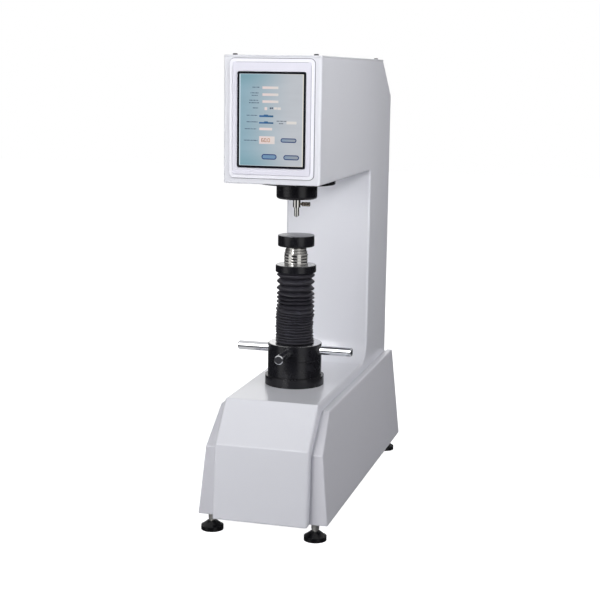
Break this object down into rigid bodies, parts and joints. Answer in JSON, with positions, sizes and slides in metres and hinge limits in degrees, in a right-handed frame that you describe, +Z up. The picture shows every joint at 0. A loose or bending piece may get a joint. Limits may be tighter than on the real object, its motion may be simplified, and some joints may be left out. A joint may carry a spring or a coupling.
{
  "type": "benchtop hardness tester",
  "caption": "Motor-loaded bench hardness tester: C-frame with touch display, indenter spindle, anvil on a bellows-covered elevating screw with capstan, weight train and levelling feet.",
  "frame": {"origin": "on the bench under the middle of the tester's bounding box", "axes": "+Z up; -Y towards the operator and the display, +X to the operator's right"},
  "size_m": [0.225, 0.63, 0.7924],
  "materials": {
    "frame_paint": "smooth semi-gloss light grey-white paint",
    "rear_paint": "fine-textured light grey paint",
    "skirt_paint": "smooth semi-gloss light grey paint",
    "bezel_plastic": "smooth satin",
    "screen_frame_black": "satin black",
    "screen_glass": "clear touch panel",
    "screen_module": "lit display panel",
    "black_steel": "black oxide, satin",
    "dark_screws": "black oxide",
    "ground_steel": "ground and turned",
    "clamp_steel": "knurled",
    "machined_steel": "machined",
    "chrome_bars": "polished chrome plate",
    "chrome_feet": "bright zinc plate",
    "foot_rubber": "moulded matt rubber",
    "bellows_rubber": "matt pleated rubber",
    "bronze": "machined bronze",
    "zinc_sheet": "zinc-plated sheet",
    "motor_alloy": "cast and turned",
    "weight_iron": "turned cast iron",
    "board_green": "solder mask",
    "inlet_plastic": "moulded black",
    "switch_plastic": "moulded black"
  },
  "bodies": {
    "tester_frame": {"base_plate": "zinc_sheet", "bellows": "bellows_rubber", "bezel_plate": "bezel_plastic", "control_board": "board_green", "depth_encoder": "motor_alloy", "display_frame": "screen_frame_black", "display_glass": "screen_glass", "display_module": "screen_module", "foot_lock_nuts": "chrome_feet", "fulcrum_axle": "machined_steel", "fulcrum_bracket": "machined_steel", "load_motor": "motor_alloy", "lower_race": "machined_steel", "main_frame": "frame_paint", "mains_inlet": "inlet_plastic", "motor_bracket": "zinc_sheet", "power_supply": "zinc_sheet", "rear_cover": "rear_paint", "rear_cover_screws": "dark_screws", "screw_housing": "black_steel", "screw_key": "machined_steel", "skirt_left": "skirt_paint", "skirt_right": "skirt_paint", "spindle_bush": "bronze", "spindle_guard": "black_steel", "top_cover": "frame_paint", "top_cover_screws": "dark_screws", "under_head_plate": "black_steel"},
    "capstan": {"capstan_hub": "black_steel", "screw_nut": "bronze", "upper_race": "machined_steel", "bearing_rollers": "machined_steel", "capstan_bars": "chrome_bars"},
    "screw": {"elevating_screw": "ground_steel", "bellows_top_ring": "black_steel"},
    "anvil_table": {"anvil": "ground_steel"},
    "load_camshaft": {"load_cam": "machined_steel", "cam_shaft": "machined_steel"},
    "lever": {"main_lever": "machined_steel", "hanger_pin": "machined_steel"},
    "spindle_assembly": {"spindle": "ground_steel", "indenter": "ground_steel", "depth_scale": "machined_steel"},
    "clamp_screw": {"indenter_clamp_screw": "clamp_steel"},
    "load_hanger": {"weight_hanger": "machined_steel", "load_weights": "weight_iron"},
    "rocker": {"power_switch": "switch_plastic"},
    "foot_front_left": {"foot_pad_front_left": "foot_rubber", "foot_stud_front_left": "chrome_feet"},
    "foot_front_right": {"foot_pad_front_right": "foot_rubber", "foot_stud_front_right": "chrome_feet"},
    "foot_rear_left": {"foot_pad_rear_left": "foot_rubber", "foot_stud_rear_left": "chrome_feet"},
    "foot_rear_right": {"foot_pad_rear_right": "foot_rubber", "foot_stud_rear_right": "chrome_feet"}
  },
  "joints": [
    {"name": "capstan_turn", "type": "hinge", "parent": "tester_frame", "child": "capstan", "pos_m": [0, -0.104, 0.281], "axis": [0, 0, 1], "range_deg": [-1940, 6475]},
    {"name": "screw_lift", "type": "slide", "parent": "tester_frame", "child": "screw", "axis": [0, 0, 1], "range_m": [-0.09, 0.027], "deforming": ["bellows"]},
    {"name": "anvil_turn", "type": "hinge", "parent": "screw", "child": "anvil_table", "pos_m": [0, -0.104, 0.474], "axis": [0, 0, 1], "continuous": true},
    {"name": "load_cam_turn", "type": "hinge", "parent": "tester_frame", "child": "load_camshaft", "pos_m": [0, 0.15, 0.6388], "axis": [1, 0, 0], "range_deg": [0, 90]},
    {"name": "lever_swing", "type": "hinge", "parent": "tester_frame", "child": "lever", "pos_m": [0, -0.129, 0.69], "axis": [1, 0, 0], "range_deg": [-2.36, 0]},
    {"name": "spindle_stroke", "type": "slide", "parent": "tester_frame", "child": "spindle_assembly", "axis": [0, 0, 1], "range_m": [-0.00103, 0]},
    {"name": "hanger_drop", "type": "slide", "parent": "tester_frame", "child": "load_hanger", "axis": [0, 0, 1], "range_m": [-0.01398, 0]},
    {"name": "clamp_screw_turn", "type": "hinge", "parent": "spindle_assembly", "child": "clamp_screw", "pos_m": [0, -0.104, 0.538], "axis": [1, 0, 0], "range_deg": [0, 180]},
    {"name": "switch_rock", "type": "hinge", "parent": "tester_frame", "child": "rocker", "pos_m": [-0.038, 0.2975, 0.128], "axis": [1, 0, 0], "range_deg": [-14, 0]},
    {"name": "foot_height_front_left", "type": "slide", "parent": "tester_frame", "child": "foot_front_left", "axis": [0, 0, 1], "range_m": [-0.005, 0]},
    {"name": "foot_height_front_right", "type": "slide", "parent": "tester_frame", "child": "foot_front_right", "axis": [0, 0, 1], "range_m": [-0.005, 0]},
    {"name": "foot_height_rear_left", "type": "slide", "parent": "tester_frame", "child": "foot_rear_left", "axis": [0, 0, 1], "range_m": [-0.005, 0]},
    {"name": "foot_height_rear_right", "type": "slide", "parent": "tester_frame", "child": "foot_rear_right", "axis": [0, 0, 1], "range_m": [-0.005, 0]}
  ],
  "couplings": [
    {"joint": "screw_lift", "follows": "capstan_turn", "m_per_rad": -0.00079577},
    {"joint": "load_cam_turn", "follows": "hanger_drop", "rad_per_m": -112.31},
    {"joint": "lever_swing", "follows": "hanger_drop", "rad_per_m": 2.9326},
    {"joint": "spindle_stroke", "follows": "hanger_drop", "ratio": 0.073314}
  ]
}
